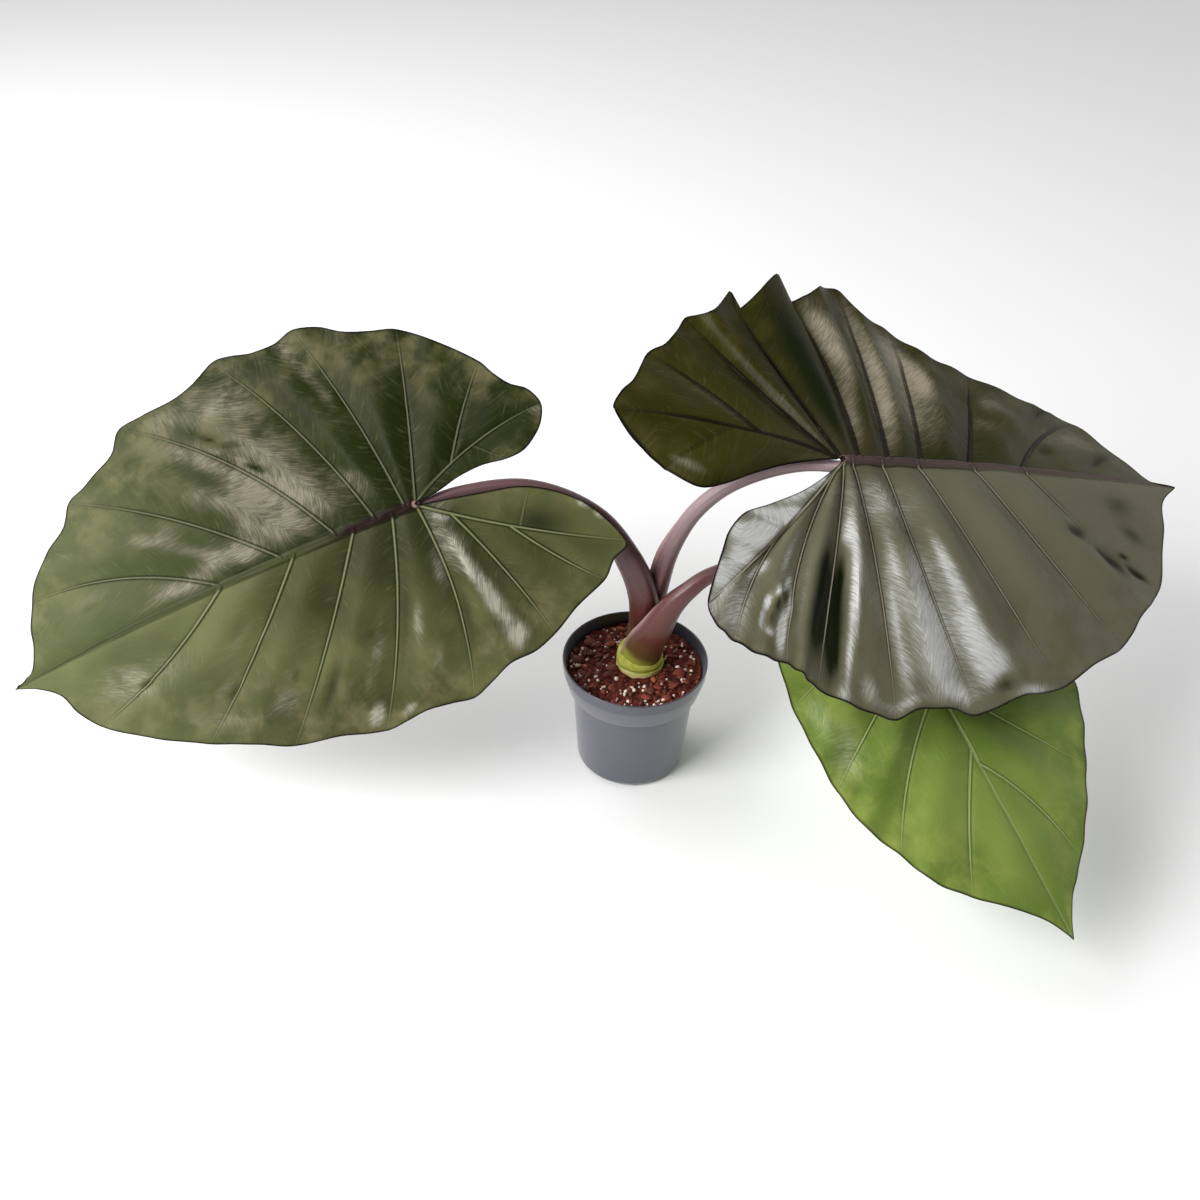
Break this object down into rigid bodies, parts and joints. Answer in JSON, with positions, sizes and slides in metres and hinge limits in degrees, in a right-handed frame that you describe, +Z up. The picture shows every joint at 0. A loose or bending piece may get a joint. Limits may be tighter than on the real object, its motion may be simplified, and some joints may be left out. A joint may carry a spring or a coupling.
{
  "type": "potted metalhead alocasia",
  "caption": "Potted alocasia with big arrow-shaped leaves of metallic bronze-green sheen on long reddish stalks, growing from a ringed stem base in a grey nursery pot.",
  "frame": {"origin": "middle of the pot's flat foot, on the surface that it stands on", "axes": "+Z up, +X towards the viewer's right in the picture, -Y towards the viewer"},
  "size_m": [0.925, 0.4015, 0.3816],
  "materials": {
    "pot_plastic": "satin",
    "soil": "matte",
    "stem_base": "satin",
    "stalk": "satin",
    "blade_dark": "satin",
    "blade_metal": "satin",
    "blade_green": "satin"
  },
  "bodies": {
    "root": {"pot": "pot_plastic", "soil": "soil", "stem_base": "stem_base", "stalk_left": "stalk", "stalk_right": "stalk", "stalk_low": "stalk", "blade_left": "blade_dark", "blade_right": "blade_metal", "blade_low": "blade_green"}
  },
  "joints": []
}
